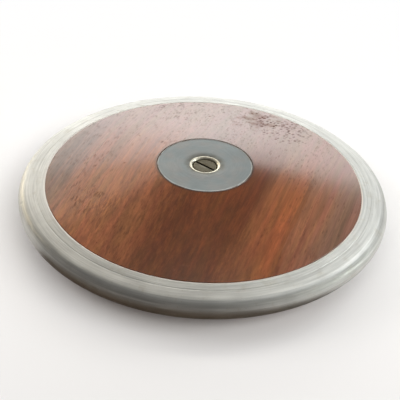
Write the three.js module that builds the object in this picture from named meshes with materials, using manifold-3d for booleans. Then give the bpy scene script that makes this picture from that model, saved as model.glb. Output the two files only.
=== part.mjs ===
// Throwing discus: a turned steel rim keyed to two wooden sides, with plates at the centre.
// Millimetres, +Z up. The origin is the centre of the discus, on its axis and middle plane.

import * as THREE from 'three';
import { mergeVertices } from 'three/addons/utils/BufferGeometryUtils.js';
import Module from 'manifold-3d';

const wasm = await Module();
wasm.setup();

// Driving dimensions
const outerDiameter = 201;
const thicknessOverPlates = 39;
const plateDiameter = 52;
const edgeRadius = 6.25;

// Fits and cuts
const fitGap = 0.3;
const seatGap = 0.1;
const cutOverrun = 1;
const mergeDistance = 0.0001;

// Rim: a round edge, a face flush with the wood, and a web between the two sides
const rimFaceWidth = 14.5;
const rimWebThickness = 3;
const rimWebDepth = 9;
const rimArris = 0.5;
const webArris = 0.6;
const grooveInset = 9.5;
const grooveWidth = 0.9;
const grooveDepth = 0.3;

// Dowel pins through the web
const pinDiameter = 3;
const pinLength = 10;
const pinChamfer = 0.4;
const pinsPerSideBoard = 2;
const pinCount = 8;

// Wooden sides, each of three boards glued edge to edge before turning
const centreBoardWidth = 126;
const woodArris = 0.4;
const upperBoardAngle = THREE.MathUtils.degToRad(-17);
const lowerBoardAngle = upperBoardAngle + Math.PI / 2;

// Plates
const plateThickness = 3.2;
const plateChamfer = 0.4;
const dishWidth = 3;
const dishDepth = 0.3;

// Weights in a pocket under each plate
const weightDiameter = 40;
const weightThickness = 8;
const weightChamfer = 0.8;
const washerThickness = 1.2;

// Screw cups let into the plates
const cupFlangeDiameter = 16.6;
const cupFlangeThickness = 1.4;
const cupSink = 0.2;
const cupLipRound = 0.3;
const cupBevelDepth = 1.2;
const cupWall = 0.8;
const cupFloorThickness = 1.1;

// Centre screw and the sleeve nut that it turns into
const headDiameter = 12.8;
const headHeight = 2.4;
const headSink = 1.1;
const headChamfer = 0.6;
const slotWidth = 1.5;
const slotDepth = 1.3;
const shankDiameter = 6;
const shankTipChamfer = 0.8;
const sleeveDiameter = 9;
const sleeveMouthChamfer = 0.5;
const boreRelief = 1.5;
const sleeveMouthShare = 0.8;
const screwTipShare = 0.8;
const screwSlotAngle = THREE.MathUtils.degToRad(-37);
const nutSlotAngle = THREE.MathUtils.degToRad(20);

// Facets round a full turn
const bodyFacets = 72;
const plateFacets = 48;
const fittingFacets = 32;
const pinFacets = 12;
const beadSteps = 6;

// Places that follow from the sizes
const outerRadius = outerDiameter / 2;
const halfThickness = thicknessOverPlates / 2;
const plateRadius = plateDiameter / 2;
const beadCentreRadius = outerRadius - edgeRadius;
const rimInnerRadius = outerRadius - rimFaceWidth;
const webInnerRadius = rimInnerRadius - rimWebDepth;
const webTop = rimWebThickness / 2;
const grooveRadius = outerRadius - grooveInset;
const pinCircleRadius = webInnerRadius + rimWebDepth / 2;
const plateUnderside = halfThickness - plateThickness;
const recessFloor = plateUnderside - seatGap;
const washerTop = plateUnderside - seatGap;
const weightTop = washerTop - washerThickness - seatGap;
const pocketFloor = weightTop - weightThickness - seatGap;
const pocketRadius = weightDiameter / 2 + fitGap;
const headTop = halfThickness - headSink;
const headUnderside = headTop - headHeight;
const cupFloor = headUnderside - seatGap;
const cupBottom = cupFloor - cupFloorThickness;
const cupBoreRadius = headDiameter / 2 + fitGap;
const cupBodyRadius = cupBoreRadius + cupWall;
const cupFlangeRadius = cupFlangeDiameter / 2;
const cupTop = halfThickness - cupSink;
const cupFlangeUnderside = cupTop - cupFlangeThickness;
const sleeveRadius = sleeveDiameter / 2;
const sleeveHoleRadius = sleeveRadius + fitGap;
const sleeveMouth = pocketFloor * sleeveMouthShare;
const screwTip = -pocketFloor * screwTipShare;

// Each side falls in a straight taper from the plate's edge until it touches the round edge.
const taperRun = beadCentreRadius - plateRadius;
const taperReach = Math.hypot(taperRun, halfThickness);
const taperAngle = Math.atan2(halfThickness, taperRun) - Math.asin(edgeRadius / taperReach);

function sideHeight(radius) {
  return halfThickness - (radius - plateRadius) * Math.tan(taperAngle);
}

// Outlines are lists of [radius, height], running up the outside and down the inside.
function turnedOver(outline) {
  return outline.map(([radius, height]) => [radius, -height]).reverse();
}

function revolve(outline, facets) {
  const points = outline.map(([radius, height]) => new THREE.Vector2(radius, height));
  const endsOnAxis = points[0].x === 0 && points[points.length - 1].x === 0;
  if (!endsOnAxis) {
    points.push(points[0].clone());
  }
  const geometry = new THREE.LatheGeometry(points, facets);
  geometry.rotateX(Math.PI / 2);
  return geometry;
}

// Solids for joining and cutting
function toSolid(geometry) {
  const bare = geometry.clone();
  bare.deleteAttribute('normal');
  bare.deleteAttribute('uv');
  const merged = mergeVertices(bare, mergeDistance);
  const corners = merged.index.array;
  const triangles = [];
  for (let i = 0; i < corners.length; i += 3) {
    const [a, b, c] = [corners[i], corners[i + 1], corners[i + 2]];
    if (a !== b && b !== c && c !== a) {
      triangles.push(a, b, c);
    }
  }
  return new wasm.Manifold(new wasm.Mesh({
    numProp: 3,
    vertProperties: merged.attributes.position.array,
    triVerts: new Uint32Array(triangles),
  }));
}

function toGeometry(solid) {
  const mesh = solid.getMesh();
  const geometry = new THREE.BufferGeometry();
  geometry.setAttribute('position', new THREE.BufferAttribute(mesh.vertProperties, 3));
  geometry.setIndex(new THREE.BufferAttribute(mesh.triVerts, 1));
  geometry.computeVertexNormals();
  return geometry;
}

// Finishes
function finish(colour, roughness, metalness) {
  return new THREE.MeshStandardMaterial({ color: colour, roughness, metalness });
}

const rimSteel = finish(0xb9b8ad, 0.32, 1);
const centreWood = finish(0x7a4a33, 0.5, 0);
const leftWood = finish(0x8a6c5c, 0.5, 0);
const rightWood = finish(0x6f5146, 0.5, 0);
const plateSteel = finish(0x93a09f, 0.42, 1);
const cupNickel = finish(0xd6d0c2, 0.2, 1);
const screwSteel = finish(0x746d5e, 0.45, 1);
const weightIron = finish(0x45423f, 0.7, 1);
const washerSteel = finish(0x9a9a96, 0.4, 1);
const pinSteel = finish(0xa8a8a4, 0.35, 1);

function piece(name, geometry, material) {
  const mesh = new THREE.Mesh(geometry, material);
  mesh.name = name;
  return mesh;
}

// Dowel pins, spaced so that every side board holds two of them
function pinPlaces() {
  const spacing = (2 * Math.PI) / pinCount;
  return Array.from({ length: pinCount }, (_, i) => {
    const angle = upperBoardAngle + spacing * (i + 1 / pinsPerSideBoard);
    return [pinCircleRadius * Math.cos(angle), pinCircleRadius * Math.sin(angle)];
  });
}

function pinHoles() {
  const radius = pinDiameter / 2 + fitGap;
  const hole = new THREE.CylinderGeometry(radius, radius, pinLength + 2 * seatGap, pinFacets);
  hole.rotateX(Math.PI / 2);
  const holes = pinPlaces().map(([x, y]) => toSolid(hole.clone().translate(x, y, 0)));
  return holes.reduce((all, next) => all.add(next));
}

function rimPins() {
  const radius = pinDiameter / 2;
  const end = pinLength / 2;
  const outline = [
    [0, -end],
    [radius - pinChamfer, -end],
    [radius, -end + pinChamfer],
    [radius, end - pinChamfer],
    [radius - pinChamfer, end],
    [0, end],
  ];
  return pinPlaces().map(([x, y], i) => {
    const pin = piece(`rim_pin_${i + 1}`, revolve(outline, pinFacets), pinSteel);
    pin.position.set(x, y, 0);
    return pin;
  });
}

// Rim
function beadArc() {
  const sweep = Math.PI / 2 - taperAngle;
  return Array.from({ length: beadSteps }, (_, i) => {
    const angle = (sweep * (i + 1)) / beadSteps;
    return [beadCentreRadius + edgeRadius * Math.cos(angle), edgeRadius * Math.sin(angle)];
  });
}

function rimOutline() {
  const grooveOuter = grooveRadius + grooveWidth / 2;
  const grooveInner = grooveRadius - grooveWidth / 2;
  const faceStart = rimInnerRadius + rimArris;
  const upper = [
    ...beadArc(),
    [grooveOuter, sideHeight(grooveOuter)],
    [grooveRadius, sideHeight(grooveRadius) - grooveDepth],
    [grooveInner, sideHeight(grooveInner)],
    [faceStart, sideHeight(faceStart)],
    [rimInnerRadius, sideHeight(rimInnerRadius) - rimArris],
    [rimInnerRadius, webTop],
    [webInnerRadius + webArris, webTop],
    [webInnerRadius, webTop - webArris],
  ];
  return [...turnedOver(upper), [outerRadius, 0], ...upper];
}

function rim() {
  const ring = toSolid(revolve(rimOutline(), bodyFacets));
  return piece('rim', toGeometry(ring.subtract(pinHoles())), rimSteel);
}

// Wooden sides: one turned blank each, parted along its glue lines
function sideOutline() {
  const edge = rimInnerRadius - fitGap;
  const recessRadius = plateRadius + fitGap;
  const gluePlane = seatGap / 2;
  const webSeat = webTop + seatGap;
  return [
    [sleeveHoleRadius, gluePlane],
    [webInnerRadius - fitGap, gluePlane],
    [webInnerRadius - fitGap, webSeat],
    [edge, webSeat],
    [edge, sideHeight(edge) - woodArris],
    [edge - woodArris, sideHeight(edge - woodArris)],
    [recessRadius, sideHeight(recessRadius)],
    [recessRadius, recessFloor],
    [pocketRadius, recessFloor],
    [pocketRadius, pocketFloor],
    [sleeveHoleRadius, pocketFloor],
  ];
}

function boardSlab(from, to, angle) {
  const slab = new THREE.BoxGeometry(to - from, outerDiameter, thicknessOverPlates + cutOverrun);
  slab.translate((from + to) / 2, 0, 0);
  slab.rotateZ(angle);
  return toSolid(slab);
}

function boards(outline, angle, names) {
  const blank = toSolid(revolve(outline, bodyFacets)).subtract(pinHoles());
  const half = centreBoardWidth / 2;
  const spans = [
    [-outerRadius, -half - fitGap / 2],
    [-half + fitGap / 2, half - fitGap / 2],
    [half + fitGap / 2, outerRadius],
  ];
  const woods = [leftWood, centreWood, rightWood];
  return spans.map(([from, to], i) => {
    const board = blank.intersect(boardSlab(from, to, angle));
    return piece(names[i], toGeometry(board), woods[i]);
  });
}

// Plates, weights and washers, drawn for the upper side
function plateOutline() {
  const holeRadius = cupBodyRadius + fitGap;
  const flangeRecess = cupFlangeRadius + fitGap;
  const flangeSeat = cupFlangeUnderside - seatGap;
  return [
    [holeRadius, plateUnderside],
    [plateRadius, plateUnderside],
    [plateRadius, halfThickness - plateChamfer],
    [plateRadius - plateChamfer, halfThickness],
    [flangeRecess + dishWidth, halfThickness],
    [flangeRecess, halfThickness - dishDepth],
    [flangeRecess, flangeSeat],
    [holeRadius, flangeSeat],
  ];
}

function weightOutline() {
  const inner = cupBodyRadius + fitGap;
  const outer = weightDiameter / 2;
  const bottom = weightTop - weightThickness;
  return [
    [inner, bottom],
    [outer - weightChamfer, bottom],
    [outer, bottom + weightChamfer],
    [outer, weightTop - weightChamfer],
    [outer - weightChamfer, weightTop],
    [inner, weightTop],
  ];
}

function washerOutline() {
  const inner = cupBodyRadius + fitGap;
  const outer = weightDiameter / 2;
  const bottom = washerTop - washerThickness;
  return [
    [inner, bottom],
    [outer, bottom],
    [outer, washerTop],
    [inner, washerTop],
  ];
}

// Screw cup: a flange let flush into the plate, a bright bevel and a floor under the head
function cupOutline() {
  const lipRadius = cupFlangeRadius - cupLipRound;
  return [
    [sleeveHoleRadius, cupBottom],
    [cupBodyRadius, cupBottom],
    [cupBodyRadius, cupFlangeUnderside],
    [cupFlangeRadius, cupFlangeUnderside],
    [cupFlangeRadius, cupTop - cupLipRound],
    [lipRadius, cupTop],
    [cupBoreRadius, cupTop - cupBevelDepth],
    [cupBoreRadius, cupFloor],
    [sleeveHoleRadius, cupFloor],
  ];
}

// Centre screw and sleeve nut
function slotted(outline, height, angle) {
  const slot = new THREE.BoxGeometry(headDiameter + cutOverrun, slotWidth, 2 * slotDepth);
  slot.rotateZ(angle);
  slot.translate(0, 0, height);
  return toGeometry(toSolid(revolve(outline, fittingFacets)).subtract(toSolid(slot)));
}

function screwOutline() {
  const shankRadius = shankDiameter / 2;
  const headRadius = headDiameter / 2;
  return [
    [0, screwTip],
    [shankRadius - shankTipChamfer, screwTip],
    [shankRadius, screwTip + shankTipChamfer],
    [shankRadius, headUnderside],
    [headRadius, headUnderside],
    [headRadius, headTop - headChamfer],
    [headRadius - headChamfer, headTop],
    [0, headTop],
  ];
}

function nutOutline() {
  const headRadius = headDiameter / 2;
  const boreRadius = shankDiameter / 2 + fitGap;
  const boreEnd = screwTip - boreRelief;
  return [
    [0, -headTop],
    [headRadius - headChamfer, -headTop],
    [headRadius, -headTop + headChamfer],
    [headRadius, -headUnderside],
    [sleeveRadius, -headUnderside],
    [sleeveRadius, sleeveMouth - sleeveMouthChamfer],
    [sleeveRadius - sleeveMouthChamfer, sleeveMouth],
    [boreRadius, sleeveMouth],
    [boreRadius, boreEnd],
    [0, boreEnd],
  ];
}

// What lies alike on both sides of the middle plane
function sideFittings(prefix, place) {
  return [
    piece(`${prefix}_plate`, revolve(place(plateOutline()), plateFacets), plateSteel),
    piece(`${prefix}_screw_cup`, revolve(place(cupOutline()), fittingFacets), cupNickel),
    piece(`${prefix}_core_weight`, revolve(place(weightOutline()), fittingFacets), weightIron),
    piece(`${prefix}_trim_washer`, revolve(place(washerOutline()), fittingFacets), washerSteel),
  ];
}

const upperSide = new THREE.Group();
const upperBoards = ['upper_left_board', 'upper_centre_board', 'upper_right_board'];
upperSide.add(...boards(sideOutline(), upperBoardAngle, upperBoards));
upperSide.add(...sideFittings('upper', (outline) => outline));

const lowerSide = new THREE.Group();
const lowerBoards = ['lower_near_board', 'lower_centre_board', 'lower_far_board'];
lowerSide.add(...boards(turnedOver(sideOutline()), lowerBoardAngle, lowerBoards));
lowerSide.add(...sideFittings('lower', turnedOver));

const centreBolt = new THREE.Group();
const screwGeometry = slotted(screwOutline(), headTop, screwSlotAngle);
const nutGeometry = slotted(nutOutline(), -headTop, nutSlotAngle);
centreBolt.add(piece('centre_screw', screwGeometry, screwSteel));
centreBolt.add(piece('sleeve_nut', nutGeometry, screwSteel));

const discus = new THREE.Group();
discus.add(rim(), ...rimPins(), upperSide, lowerSide, centreBolt);

export default discus;
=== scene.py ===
"""Throwing discus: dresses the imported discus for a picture, in metres, +Z up."""

from math import asin, atan2, cos, hypot, pi, radians, sin, tan

import bpy
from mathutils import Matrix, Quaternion, Vector


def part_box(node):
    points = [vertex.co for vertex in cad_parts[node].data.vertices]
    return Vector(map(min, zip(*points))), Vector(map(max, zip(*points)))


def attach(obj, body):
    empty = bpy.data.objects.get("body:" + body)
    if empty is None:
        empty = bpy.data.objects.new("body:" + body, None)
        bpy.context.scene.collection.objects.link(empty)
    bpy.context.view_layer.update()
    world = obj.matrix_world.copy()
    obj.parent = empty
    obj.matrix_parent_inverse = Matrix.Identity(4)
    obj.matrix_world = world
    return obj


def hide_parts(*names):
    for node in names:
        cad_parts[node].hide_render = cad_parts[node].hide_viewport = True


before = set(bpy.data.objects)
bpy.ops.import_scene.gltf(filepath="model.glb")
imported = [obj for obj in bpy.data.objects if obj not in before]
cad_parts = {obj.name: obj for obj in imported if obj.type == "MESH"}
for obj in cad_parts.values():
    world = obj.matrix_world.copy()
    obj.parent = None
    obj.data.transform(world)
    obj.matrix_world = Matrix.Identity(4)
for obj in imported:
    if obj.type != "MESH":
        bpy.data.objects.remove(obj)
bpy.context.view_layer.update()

bl_info = {
    "name": "Throwing Discus",
    "version": (1, 0, 0),
    "blender": (4, 5, 0),
    "location": "View3D > Sidebar > Discus",
    "description": "Turns the rim, wooden sides, plates and centre screw of a discus",
    "category": "Object",
}

MM = 0.001
X, Y, Z = 0, 1, 2

# Meshes
SMOOTH_ANGLE = radians(30)
MERGE_GAP = 0.001 * MM
SMALL_ROUND = 0.1 * MM
TINY_ROUND = 0.05 * MM
ROUND_STEPS = 4
LARGEST_ROUND_SHARE = 0.3
GUARD_REACH = 1.5

# Node trees: the span of most of a noise, and the sockets of a colour mix
CLOUD_RANGE = (0.3, 0.7)
COLOUR_MIX_SOCKETS = (0, 6, 7)
COLOUR_MIX_RESULT = 2

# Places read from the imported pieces
RIM_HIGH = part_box("rim")[1]
PLATE_LOW, PLATE_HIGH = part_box("upper_plate")
CUP_LOW, CUP_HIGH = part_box("upper_screw_cup")
WEIGHT_LOW, WEIGHT_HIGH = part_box("upper_core_weight")
SCREW_LOW, SCREW_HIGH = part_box("centre_screw")
NUT_LOW, NUT_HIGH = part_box("sleeve_nut")

# Rim
EDGE_RADIUS = 6.25 * MM
RIM_FACE_WIDTH = 14.5 * MM
WEB_DEPTH = 9 * MM
WEB_HALF = 1.5 * MM
RIM_ARRIS = 0.9 * MM
ARRIS_DROP = 0.15 * MM
WEB_ARRIS = 0.6 * MM
GROOVE_INSET = 9.5 * MM
GROOVE_HALF = 0.45 * MM
GROOVE_DEPTH = 0.09 * MM
GROOVE_FLOOR_HALF = 0.1 * MM
GROOVE_ROUNDS = (0.12 * MM, 0.08 * MM)
RIM_ARRIS_ROUNDS = (0.15 * MM, 0.06 * MM)
RIM_SEAT_ROUND = 0.2 * MM
BEAD_STEPS = 18
DENT_MESH_REACH = 2.5
DENT_MESH_CUTS = 3
# Dents: place, reach and depth
DENTS = (
    ((-96 * MM, -25 * MM, 4 * MM), 1.6 * MM, 0.3 * MM),
    ((-55 * MM, -83 * MM, -1 * MM), 1.8 * MM, 0.35 * MM),
    ((-51 * MM, -86 * MM, -1.6 * MM), 1.3 * MM, 0.25 * MM),
    ((88 * MM, 47 * MM, 3.5 * MM), 1.4 * MM, 0.22 * MM),
)

# Wood; each spot is a place and a reach
BOARD_HALF = 63 * MM
SEAM_HALF = 0.02 * MM
WOOD_ARRIS = 0.2 * MM
PLATE_SEAT_ARRIS = 0.12 * MM
SNUG = 0.04 * MM
GRAIN_TURN = radians(-17)
WORN_SPOT = ((31 * MM, 64 * MM, 11 * MM), 24 * MM)
DOTTED_SPOT = ((43 * MM, 54 * MM, 11 * MM), 23 * MM)
SPECKLED_SPOT = ((-10 * MM, 72 * MM, 10 * MM), 28 * MM)
DOT_ROW_TURN = radians(-35)
DOT_ROWS = (0.52 / MM, 0.32 / MM, 0.0)
SCARRED_SPOT = ((-59 * MM, -28 * MM, 12 * MM), 20 * MM)
PIN_KNOT = ((76 * MM, -23 * MM, 10 * MM), 0.8 * MM)

# Plates, cups and screw
PLATE_BEVEL = 0.4 * MM
LIP_WIDTH = 0.7 * MM
LIP_RISE = 0.1 * MM
DISH_WIDTH = 3 * MM
DISH_DEPTH = 0.3 * MM
LIP_ROUND = 0.2 * MM
DISH_ROUND = 0.9 * MM
FLANGE_SEAT_ROUND = 0.12 * MM
FLANGE_THICKNESS = 1.4 * MM
CUP_BEVEL = 1.2 * MM
CUP_BEVEL_ROUND = 0.3 * MM
CUP_BEVEL_POINTS = ((0.7 * MM, 0.16 * MM), (0.2 * MM, 0.6 * MM))
CUP_BORE_ROUND = 0.2 * MM
CUP_LIP = 0.3 * MM
CUP_LIP_DROP = 0.05 * MM
CUP_LIP_ROUND = 0.25 * MM
CUP_WALL = 0.8 * MM
CUP_FLOOR = 1.1 * MM
HEAD_RADIUS = 6.4 * MM
HEAD_HEIGHT = 2.4 * MM
HEAD_ROUND = 1.0 * MM
HEAD_INNER_RING = HEAD_RADIUS * 0.5
CLEARANCE = 0.3 * MM
SHANK_RADIUS = 3 * MM
TIP_BEVEL = 0.8 * MM
SLEEVE_RADIUS = 4.5 * MM
SLEEVE_ROUND = 0.5 * MM
BORE_RADIUS = 3.3 * MM
BORE_PAST_TIP = 1.5 * MM
SLOT_WIDTH = 1.3 * MM
SLOT_DEPTH = 1.3 * MM
SLOT_BREAK = 0.08 * MM
CUTTER_LENGTH = HEAD_RADIUS * 2.4
SLOT_EDGE_ANGLE = radians(50)
SLOT_EDGE_STEPS = 2
SCREW_SLOT_TURN = radians(-37)
NUT_SLOT_TURN = radians(20)

# Steps round each turned piece
RIM_STEPS = 320
WOOD_STEPS = 240
PLATE_STEPS = 160
CUP_STEPS = 128


class DiscusSizes(bpy.types.PropertyGroup):
    """Main sizes of the discus"""

    outer_radius: bpy.props.FloatProperty(
        name="Outer Radius",
        description="Radius over the rounded edge of the rim",
        default=RIM_HIGH.x,
        unit="LENGTH",
    )
    half_thickness: bpy.props.FloatProperty(
        name="Half Thickness",
        description="Height of the plate's face above the middle plane",
        default=PLATE_HIGH.z,
        unit="LENGTH",
    )
    plate_radius: bpy.props.FloatProperty(
        name="Plate Radius",
        description="Radius of the flush centre plate",
        default=PLATE_HIGH.x,
        unit="LENGTH",
    )
    cup_radius: bpy.props.FloatProperty(
        name="Cup Radius",
        description="Radius of the screw cup's flange",
        default=CUP_HIGH.x,
        unit="LENGTH",
    )


class DiscusColours(bpy.types.PropertyGroup):
    """Main colours of the discus and its floor"""

    heartwood: bpy.props.FloatVectorProperty(
        name="Heartwood",
        description="Dark red-brown middle of the centre board",
        subtype="COLOR",
        default=(0.11, 0.0305, 0.0068),
    )
    streak_wood: bpy.props.FloatVectorProperty(
        name="Streak Wood",
        description="Warm orange-brown streaks of the centre board",
        subtype="COLOR",
        default=(0.25, 0.076, 0.022),
    )
    pale_wood: bpy.props.FloatVectorProperty(
        name="Pale Wood",
        description="Lighter brown of the worn left of the centre board",
        subtype="COLOR",
        default=(0.25, 0.088, 0.034),
    )
    grey_wood: bpy.props.FloatVectorProperty(
        name="Grey Wood",
        description="Greyed brown of the outer boards",
        subtype="COLOR",
        default=(0.17, 0.082, 0.05),
    )
    rim_steel: bpy.props.FloatVectorProperty(
        name="Rim Steel",
        description="Worn bright steel of the rim",
        subtype="COLOR",
        default=(0.645, 0.64, 0.61),
    )
    plate_steel: bpy.props.FloatVectorProperty(
        name="Plate Steel",
        description="Cool grey steel of the centre plates",
        subtype="COLOR",
        default=(0.262, 0.277, 0.273),
    )
    floor: bpy.props.FloatVectorProperty(
        name="Floor",
        description="Pale floor under the discus",
        subtype="COLOR",
        default=(0.915, 0.916, 0.912),
    )


# Marks on the wood: colour, share of that colour, and loss of varnish
PORE_MARKS = ((0.055, 0.02, 0.01), 0.38, -0.45)
SCAR_MARKS = ((0.05, 0.02, 0.01), 0.45, -0.45)
WORN_MARKS = ((0.15, 0.055, 0.028), 0.43, -0.4)
PIT_MARKS = ((0.06, 0.02, 0.014), 0.58, -0.62)
WOOD_RELIEF = 0.012 * MM
FIBRE_RISE, WORN_RISE = 0.5, 3.0
PORE_RISE, SCAR_RISE, PIT_RISE = -0.8, -1.5, -3.0
WOOD_SPECULAR = 0.02
VARNISH_ROUGHNESS = 0.19
VARNISH_IOR = 1.5

# Colour bands: where across the side, from 0 at its left to 1, and which tone
BOARD_BANDS = (
    ((0.0, "grey"), (0.07, "grey"), (0.13, "dull")),
    (
        (0.13, "dull"), (0.17, "pale"), (0.3, "pale"), (0.42, "mid"), (0.5, "heart"),
        (0.69, "heart"), (0.75, "mid"), (0.785, "warm"), (0.81, "warm"), (0.828, "mid"),
        (0.836, "mid"), (0.85, "red"), (0.866, "red"),
    ),
    ((0.866, "red"), (0.92, "grey"), (1.0, "grey")),
)
BAND_SPAN = 86 * MM
BOARD_SHIFT = (70.0, 31.0)
LOWER_SIDE_SHIFT = 50.0
REDDER, YELLOWER = (1.05, 0.96, 1.01), (0.97, 1.03, 0.92)

# Colours of age and wear, and of painted sheen and shade
# Pale pink painted sheen, mixed into the far side of the wood
FAR_PAINTED_SHEEN = (0.235, 0.14, 0.115)
PLATE_SEAM_PAINTED_SHADE = (0.06, 0.028, 0.016)
# Painted shade where the wood meets the plate
CUP_DISH_PAINTED_SHADE = (0.13, 0.12, 0.09)
# Painted shade in the dish round the screw cup
EDGE_RUST = (0.12, 0.078, 0.05)
RUBBED_RIM = (0.9, 0.84, 0.78)
RUBBED_PLATE = (0.6, 0.6, 0.57)
COOLER, WARMER = (0.96, 1.0, 1.02), (1.04, 1.0, 0.99)
IRON_STOPS = ((0.3, (0.03, 0.028, 0.026)), (0.7, (0.11, 0.1, 0.09)))
IRON_RELIEF = 0.08 * MM

# Steels: stain colour, roughness, depth of scratches, strength of tool rings
STEELS = {
    "rim_steel": ((0.54, 0.5, 0.42), 0.52, 1.0, 0.19),
    "plate_steel": ((0.24, 0.255, 0.26), 0.42, 0.5, 0.03),
    "cup_nickel": ((0.5, 0.45, 0.35), 0.37, 0.2, 0.05),
    "screw_steel": ((0.06, 0.05, 0.032), 0.42, 1.2, 0.2),
    "washer_steel": ((0.3, 0.29, 0.27), 0.4, 0.5, 0.05),
    "pin_steel": ((0.4, 0.4, 0.38), 0.3, 0.2, 0.05),
}
FINE_RINGS = (1.2, 4.0 / MM)
BROAD_RINGS = (3.0, 0.9 / MM)
SCRATCH_TURN = 0.7
SCRATCH_STRETCH = (2500, 90, 2500)
STEEL_RELIEF = 0.004 * MM
NICKEL = (0.74, 0.7, 0.58)
SCREW_BROWN = (0.165, 0.145, 0.1)
WASHER_GREY = (0.56, 0.56, 0.55)
PIN_GREY = (0.62, 0.62, 0.61)

# Camera, fitted to the photograph
CAMERA_PLACE = (-1.549 * MM, -496.871 * MM, 345.174 * MM)
CAMERA_AIM = (0, 0.81795, -0.57529)
CAMERA_ROLL = radians(3.494)
CAMERA_LENS = 99.02
SENSOR_WIDTH = 36

# Floor, with painted shade towards the front, a dark sheet that paints shade into reflections,
# and background, in metres
WHITE = (1, 1, 1, 1)
FLOOR_WIDTH = 8
# Share of the floor colour left at the front: painted shade
FRONT_PAINTED_SHADE_SHARE = 0.715
FLOOR_SHADE_DEPTHS = (-0.32, 0.12)
FLOOR_GRAIN = (0.7, 0.68, 0.66)
FLOOR_ROUGHNESS = 0.85
FLOOR_SPECULAR = 0.1
FADE_CENTRE = (0, -0.15, 0)
FADE_REACH = (0.22, 0.5)
# A dark sheet seen only in reflections: painted shade on the near rim
REFLECTED_SHADE_PLACE = (-0.41, -0.36)
REFLECTED_SHADE_SIZE = (0.98, 0.62)
REFLECTED_SHADE_LIFT = 0.5 * MM
REFLECTED_SHADE_STOPS = ((0.3, (0.055, 0.035, 0.02)), (0.7, (0.09, 0.06, 0.038)))
BRIGHT_SIDE = (0.45, 0.8, 0.4)
HORIZON_HEIGHT = 0.12
SKY_STOPS = (
    (0.1, (0.093, 0.084, 0.074)),
    (0.34, (0.13, 0.125, 0.12)),
    (0.5, (0.167, 0.167, 0.166)),
    (0.68, (0.223, 0.223, 0.22)),
    (0.86, (0.232, 0.232, 0.23)),
    (1.0, (0.233, 0.237, 0.24)),
)

# Lamps: name, place and size in metres, power in watts, colour.
# Mirrored lamps show in reflections only, fill lamps show in none.
MIRRORED_LAMPS = (
    ("back_panel", (-0.12, 1.35, 0.39), (2.1, 0.68), 10.3, (0.98, 1.0, 0.985)),
    ("side_glow", (0.87, 0.5, 1.0), (0.5, 0.4), 3.1, (0.94, 1.0, 1.0)),
    ("right_glow", (1.41, 0.0, 0.2), (0.5, 0.2), 2.6, (0.9, 1.0, 0.95)),
    ("right_front_glow", (1.17, -0.54, 0.6), (0.5, 0.4), 0.8, (1.0, 0.97, 0.85)),
    ("left_glow", (-1.08, 0.9, 0.2), (0.5, 0.2), 2.5, (1.0, 0.86, 0.6)),
)
FILL_LAMPS = (
    ("right_front_fill", (0.72, -0.8, 0.93), (1.3, 0.5), 9.8, (1.0, 0.99, 0.985)),
    ("front_fill", (0.0, -1.07, 0.93), (1.3, 0.5), 6.2, (1.0, 0.94, 0.9)),
    ("left_fill", (-1.09, 0.0, 0.91), (0.9, 0.5), 4.5, (1.0, 0.96, 0.95)),
    ("back_fill", (0.0, 1.37, 0.37), (2.0, 0.6), 6.0, (0.98, 0.97, 1.0)),
    ("top_fill", (0.0, -0.2, 1.5), (1.6, 1.6), 5.0, (1.0, 1.0, 1.0)),
)
PLAIN_LAMPS = (
    ("side_panel", (0.89, 0.51, 1.02), (0.7, 0.6), 2.6, (0.95, 0.97, 1.0)),
    ("high_left_panel", (-0.46, 1.12, 0.87), (0.6, 0.35), 1.1, (1.0, 0.85, 0.68)),
    ("high_back_strip", (0.0, 0.51, 1.41), (1.6, 0.25), 2.2, (1.0, 0.95, 0.84)),
)


# Places that follow from the sizes


def taper_angle(sizes):
    """Slope of the side, from the plate's edge to where it meets the rounded edge."""
    run = sizes.outer_radius - EDGE_RADIUS - sizes.plate_radius
    reach = hypot(run, sizes.half_thickness)
    return atan2(sizes.half_thickness, run) - asin(EDGE_RADIUS / reach)


def side_height(sizes, radius):
    """Height of the tapered side at a radius."""
    return sizes.half_thickness - (radius - sizes.plate_radius) * tan(taper_angle(sizes))


# Outlines are lists of (radius, height)


def turned_over(outline):
    """The same outline on the lower side."""
    return [(radius, -height) for radius, height in outline]


def softened(corners):
    """Rounds each (radius, height, rounding) corner, with a guard point on either side."""
    points = []
    count = len(corners)
    for index, (radius, height, rounding) in enumerate(corners):
        corner = Vector((radius, height))
        before = Vector(corners[index - 1][:2]) - corner
        after = Vector(corners[(index + 1) % count][:2]) - corner
        if rounding == 0:
            points.append(tuple(corner))
            continue
        shorter = min(before.length, after.length)
        reach = min(rounding, shorter * LARGEST_ROUND_SHARE)
        start = corner + before.normalized() * reach
        end = corner + after.normalized() * reach
        points.append(tuple(corner + before.normalized() * reach * GUARD_REACH))
        for step in range(ROUND_STEPS + 1):
            t = step / ROUND_STEPS
            bend = start * (1 - t) ** 2 + corner * 2 * t * (1 - t) + end * t * t
            points.append(tuple(bend))
        points.append(tuple(corner + after.normalized() * reach * GUARD_REACH))
    return points


# Modelling


def clear_selection():
    """Leaves edit mode and deselects everything."""
    if bpy.context.object and bpy.context.object.mode != "OBJECT":
        bpy.ops.object.mode_set(mode="OBJECT")
    bpy.ops.object.select_all(action="DESELECT")


def pick(piece):
    """Selects one piece and makes it the active one."""
    clear_selection()
    piece.select_set(True)
    bpy.context.view_layer.objects.active = piece


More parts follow.
